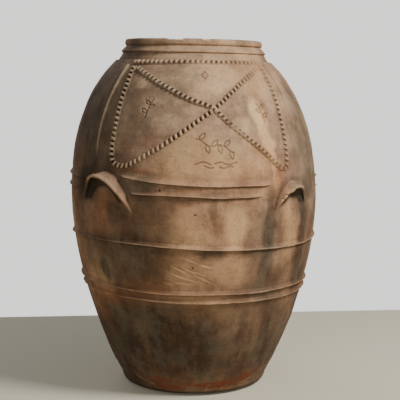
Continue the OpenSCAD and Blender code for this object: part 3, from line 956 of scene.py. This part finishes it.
def handle(name, seed):
    """A hood of clay: a flap that stands off the wall along an arch, open below for the fingers."""
    shape = HOODS[name]
    azimuth, crown, span, drop = (shape[k] for k in ("azimuth", "crown", "span", "drop"))
    steps = 220
    f = np.sin(np.linspace(-math.pi / 2, math.pi / 2, steps))[:, None]
    u = span * f
    w = -drop * np.abs(f) ** np.where(f < 0, *shape["power"])
    along = np.hypot(np.gradient(u, axis=0), np.gradient(w, axis=0))
    away = np.concatenate([-np.gradient(w, axis=0), np.gradient(u, axis=0)], axis=1) / along
    left = (1 - np.abs(f) ** 1.4) ** np.where(f < 0, *shape["fall"])
    ragged = noise(np.concatenate([u, w, 0 * u], axis=1), 0.025, seed)[:, None]
    out = shape["out"] * left * (1 + 0.07 * ragged)
    lip = LIP_T * np.clip(out / (10 * MM), 0, 1)
    low_w, high_w = shape["flank"]
    flank = FLANK_FOOT_W + (low_w + (high_w - low_w) * smooth(f, -0.35, 0.45)) * left
    t = np.linspace(0, 1, 16)[None, :]

    def curve(*points):
        """Distance from the edge and stand-off along one curve of every section."""
        return [cubic(*values, t) for values in zip(*points)]

    parts = [curve((flank + 5 * MM, -3 * MM), (flank - 4 * MM, 1.5 * MM),
                   (lip + 0.30 * (flank - lip), 0.62 * out), (0.85 * lip, out - 1 * MM * left)),
             curve((0.85 * lip, out - 1 * MM * left), (0.50 * lip, out + 1.6 * MM * left),
                   (-0.10 * lip, out + 0.8 * MM * left), (-0.15 * lip, out - 0.6 * lip)),
             curve((-0.15 * lip, out - 0.6 * lip), (0.10 * lip, 0.60 * out),
                   (0.25 * flank, 0.25 * out), (0.45 * flank, -6 * MM))]
    rho = np.concatenate([q[0][:, min(k, 1):] for k, q in enumerate(parts)], axis=1)
    off = np.concatenate([q[1][:, min(k, 1):] for k, q in enumerate(parts)], axis=1)
    off = off - 2.5 * MM * (1 - left) ** 3
    z = crown + w + away[:, 1:] * rho
    around_wall = azimuth + np.degrees((u + away[:, :1] * rho) / BELLY_R)
    points = place(around_wall, wall_r(z) + off, z)
    lump = 1.0 * MM * noise(points, 0.035, seed + 1) + 0.4 * MM * clouds(points, 0.012, seed + 2, 2)
    on_edge = smooth(off / np.maximum(out, MM), 0.75, 0.98) * smooth(left, 0.15, 0.4)
    chip = smooth(noise(points, 0.009, seed + 3), 0.15, 0.55) * on_edge * smooth(-f, -0.38, -0.20)
    points = place(around_wall, wall_r(z) + off + (lump - 3.5 * MM * chip) * smooth(left, 0, 0.3),
                   z + (0.5 * lump + 2.5 * MM * chip) * smooth(left, 0, 0.3))
    fields = paint(around_wall, z, points)
    fields["wear_and_highlight"] = np.clip(0.5 * on_edge + 0.4 * chip, 0, 1)
    across = np.arange(rho.shape[1])[None, :]
    inside = across > 2 * t.size
    root = (across < t.size) * smooth(off, 5 * MM, 1 * MM) * smooth(left, 0.1, 0.4)
    far_side = f * np.sign(math.sin(math.radians(azimuth)))
    # Painted shade on the underside of the flap and in the crease at its root, and darker on the half
    # of each hood that lies towards azimuth 180
    fields["grime_and_shade"] = np.maximum(0.80 * inside * smooth(out - off, 3 * MM, 12 * MM), 0.62 * root)
    fields["grime_and_shade"] = np.maximum(fields["grime_and_shade"], 0.60 * smooth(far_side, 0.40, 0.62))
    fields["soot_and_shade"] = fields["soot_and_shade"] * (1 - 0.7 * smooth(off / np.maximum(out, MM), 0.3, 1))
    tube(name, points, fields)


# ---- strings and ribs
# Routes over the wall: azimuth, and final height in millimetres
ROUTES = {
    "string_top": [(-49, 843), (-25, 843), (0, 842), (25, 841), (47, 840)],
    "string_left_loop": [(-46, 834), (-44, 790), (-43.5, 740), (-43, 680), (-43, 630),
                         (-41.5, 604), (-37, 596), (-32, 602), (-19, 643), (-2.5, 702),
                         (6, 731), (22, 787), (42, 829)],
    "string_right_loop": [(-42, 829), (-31, 809), (-20, 786), (-6, 755), (4.2, 737), (8, 722),
                          (15, 688), (28, 634), (36.5, 593), (39.5, 586), (41.2, 594),
                          (42, 630), (42.5, 680), (43.5, 740), (45, 790), (46, 831)]}
# How much of the knobs is left along each string: part of its length, part of their height
KNOBS_LEFT = {
    "string_top": [(0, 0.7), (0.05, 1), (0.50, 0.9), (0.75, 0.55), (0.92, 0.35), (1, 0.2)],
    "string_left_loop": [(0, 0.8), (0.05, 1), (0.70, 1), (0.86, 0.75), (0.95, 0.25), (1, 0.2)],
    "string_right_loop": [(0, 1), (0.33, 1), (0.37, 0.65), (0.50, 0.7), (0.56, 0.45), (0.62, 0.40),
                          (0.66, 0.90), (0.86, 0.85), (0.94, 0.40), (1, 0.2)]}
KNOB_PITCH = 12.8 * MM
STRING_W = 15 * MM
STRING_CROSS = 17
KNOB_H = 5.4 * MM
BORDER_H = 1.0 * MM
# How deep the hidden underside of a strip lies in the wall
EMBED = 3 * MM
RIB_AZIMUTH = 52.5
RIB_W = 8 * MM


def on_wall(azimuth, z):
    """A point on the wall at a final height."""
    z = level(azimuth, z)
    return place(azimuth, wall_r(z), z)


def even_route(route, step):
    """Azimuths, heights and runs at even steps of a smooth curve through a route's points."""
    p = np.array(route, dtype=float) * (1, MM)
    ext = np.vstack([p[0], p, p[-1]])
    t = np.linspace(0, 1, 24, endpoint=False)[:, None]
    fine = [0.5 * (2 * b + (c - a) * t + (2 * a - 5 * b + 4 * c - d) * t ** 2
                   + (3 * b - a - 3 * c + d) * t ** 3)
            for a, b, c, d in zip(ext, ext[1:], ext[2:], ext[3:])]
    fine = np.vstack(fine + [p[-1:]])
    xyz = on_wall(fine[:, 0], fine[:, 1])
    run = np.concatenate([[0], np.cumsum(np.linalg.norm(np.diff(xyz, axis=0), axis=1))])
    s = np.linspace(0, run[-1], math.ceil(run[-1] / step) + 1)
    return np.interp(s, run, fine[:, 0]), np.interp(s, run, fine[:, 1]), s


def strip(route, width, height, cross, step=1.1 * MM):
    """Rings of points of a strip over the wall, and their azimuths, heights and stand-offs.

    Its height is a function of the run and of the place across, -1 to 1.
    """
    azimuth, z, s = even_route(route, step)
    middle = on_wall(azimuth, z)
    ahead = np.gradient(middle, axis=0)
    ahead = ahead / np.linalg.norm(ahead, axis=1, keepdims=True)
    a = np.radians(azimuth)
    slope = wall_slope(level(azimuth, z))
    normal = np.stack([np.sin(a), -np.cos(a), -slope], axis=-1)
    normal = normal / np.linalg.norm(normal, axis=1, keepdims=True)
    side = np.cross(ahead, normal)
    c = np.linspace(-1, 1, cross)[None, :]
    h = height(s[:, None], c)
    points = (middle[:, None] + side[:, None] * (0.5 * width * c)[..., None]
              + normal[:, None] * h[..., None])
    points = points + 0.35 * MM * clouds(points, 0.010, 102, 2)[..., None] * normal[:, None]
    under = points[:, [-1, cross // 2, 0]]
    sunk = np.array([[EMBED], [EMBED + KNOB_H], [EMBED]])
    points = np.concatenate([points, under - sunk * normal[:, None]], axis=1)
    azimuth = np.broadcast_to(azimuth[:, None], points.shape[:2])
    z = np.broadcast_to(z[:, None], points.shape[:2])
    h = np.concatenate([h, np.zeros((len(s), 3))], axis=1)
    return points, azimuth, z, h


def string(name):
    """A strip pressed with a stick at every knob, which leaves deep notches and a low border."""
    left_at, left_of = zip(*KNOBS_LEFT[name])
    total = even_route(ROUTES[name], 0.05)[2][-1]

    def left(s):
        return np.interp(s / total, left_at, left_of)

    def notch(s, c):
        """1 in the middle of a notch, which is widest below the middle of the strip."""
        q = s / KNOB_PITCH + 0.14 * c
        q = np.abs(q - np.round(q))
        wide = 0.25 + 0.035 * np.sin(s * 611) + 0.02 * np.sin(s * 1490)
        return np.exp(-(q / wide) ** 4) * np.exp(-(c / 0.78) ** 6)

    def height(s, c):
        dome = np.clip(1 - np.abs(c) ** 3, 0, 1) ** 0.7
        knob = (KNOB_H - BORDER_H) * np.clip(1 - (c / 0.86) ** 4, 0, 1) ** 0.7 * (1 - notch(s, c))
        knob = knob * left(s) ** 0.8 * (1 + 0.10 * np.sin(s * 431))
        return BORDER_H * dome * (1 - 0.9 * notch(s, c)) + knob + 0.1 * MM

    points, azimuth, z, h = strip(ROUTES[name], STRING_W, height, STRING_CROSS)
    s = np.arange(len(points))[:, None] * (total / (len(points) - 1))
    # The three hidden points of a ring lie far outside of every notch
    across = np.concatenate([np.linspace(-1, 1, STRING_CROSS), [9, 9, 9]])
    # Painted shade at the floor of each notch, stronger where more of the knobs is left
    deep = left(s) ** 0.6 * smooth(-h, -0.55 * KNOB_H, -0.25 * KNOB_H) * notch(s, across)
    fields = paint(azimuth, z, points)
    fields["grime_and_shade"] = 0.95 * deep
    # Less soot, and a painted highlight with wear, on the tops of the knobs
    fields["soot_and_shade"] = fields["soot_and_shade"] * (1 - 0.55 * smooth(h, 0.6 * KNOB_H, KNOB_H))
    fields["wear_and_highlight"] = left(s) * smooth(h, 0.60 * KNOB_H, 0.95 * KNOB_H)
    fields["bloom"] = 0.7 * fields["bloom"]
    tube(name, points, fields)


def rib(name, azimuth, rise):
    """A thin strip luted on beside a string, worn towards its foot."""
    route = [(azimuth + 0.5 * math.sin(z / 40), z) for z in range(836, 600, -28)]

    def height(s, c):
        return rise * (1 - np.abs(c) ** 2) * smooth(0.27 - s, 0, 0.06) + 0.1 * MM

    points, az, z, h = strip(route, RIB_W, height, cross=9, step=2 * MM)
    fields = paint(az, z, points)
    fields["wear_and_highlight"] = 0.4 * smooth(h, 2 * MM, 4 * MM)
    tube(name, points, fields)


# ---- stage
def floor():
    """A pale, faintly glowing floor that ends a little behind the jar, where the background begins.
    """
    half_x, near, far = 5.0, -5.0, 0.68
    me = bpy.data.meshes.new("floor")
    me.from_pydata([(-half_x, near, 0), (half_x, near, 0), (half_x, far, 0), (-half_x, far, 0)],
                   [], [(0, 1, 2, 3)])
    material = bpy.data.materials.new("pale_floor")
    material.use_nodes = True
    tree = material.node_tree
    # The floor glows faintly, which lightens the jar's shadow on it
    feed(tree, tree.nodes["Principled BSDF"],
         {"Base Color": srgb(212, 206, 184), "Roughness": 0.9,
          "Emission Color": srgb(236, 224, 192), "Emission Strength": 0.08})
    me.materials.append(material)
    new_object("floor", me)


# Height of the point on the axis that all lamps shine at
LIT_Z = 0.45


def lamp(name, azimuth, elevation, distance, size, power, colour):
    """A round soft light that shines at the middle of the jar from an azimuth and elevation."""
    data = bpy.data.lights.new(name, "AREA")
    data.shape = "DISK"
    data.size = size
    data.energy = power
    data.color = colour
    light = new_object(name, data)
    a, e = math.radians(azimuth), math.radians(elevation)
    light.location = (distance * math.cos(e) * math.sin(a), -distance * math.cos(e) * math.cos(a),
                      LIT_Z + distance * math.sin(e))
    light.rotation_euler = (math.pi / 2 - e, 0, a)


def world():
    """Soft ambient light, and a pale background behind the jar."""
    made = bpy.data.worlds.new("studio")
    bpy.context.scene.world = made
    made.use_nodes = True
    tree = made.node_tree
    ambient = tree.nodes["Background"]
    feed(tree, ambient, {"Color": (0.90, 0.95, 1.0, 1), "Strength": 0.16})
    backdrop = tree.nodes.new("ShaderNodeBackground")
    feed(tree, backdrop, {"Color": srgb(226, 226, 224), "Strength": 1.75})
    seen = tree.nodes.new("ShaderNodeLightPath").outputs["Is Camera Ray"]
    mix = tree.nodes.new("ShaderNodeMixShader")
    feed(tree, mix, {0: seen, 1: ambient.outputs[0], 2: backdrop.outputs[0]})
    feed(tree, tree.nodes["World Output"], {"Surface": mix.outputs[0]})


CAMERA_AZIMUTH = -4.0
CAMERA_DISTANCE = 2.649
CAMERA_HEIGHT = 0.824
CAMERA_PITCH = 7.42
CAMERA_YAW = 0.367
LENS = 90


def camera():
    """Looks at the jar from the decorated side, a little from above."""
    data = bpy.data.cameras.new("camera")
    data.lens = LENS
    data.sensor_width = 36
    data.clip_end = 50
    eye = new_object("camera", data)
    a = math.radians(CAMERA_AZIMUTH)
    eye.location = (CAMERA_DISTANCE * math.sin(a), -CAMERA_DISTANCE * math.cos(a), CAMERA_HEIGHT)
    eye.rotation_euler = (math.radians(90 - CAMERA_PITCH), 0,
                          math.radians(CAMERA_AZIMUTH - CAMERA_YAW))
    bpy.context.scene.camera = eye


camera()
floor()
world()
# Each lamp's azimuth, elevation, distance, size, power in watts and colour
lamp("key", 50, 44, 3.3, 0.9, 118, (1.0, 0.97, 0.93))
lamp("fill", -20, 22, 3.4, 2.0, 12, (0.95, 0.97, 1.0))
lamp("back", 208, 36, 3.4, 2.2, 20, (0.95, 0.97, 1.0))

base_slab()
foot_band()
walls()
neck()
for number, handle_name in enumerate(HOODS):
    handle(handle_name, 110 + 10 * number)
for string_name in ROUTES:
    string(string_name)
rib("rib_left", -RIB_AZIMUTH, 5 * MM)
rib("rib_right", RIB_AZIMUTH, 2.5 * MM)
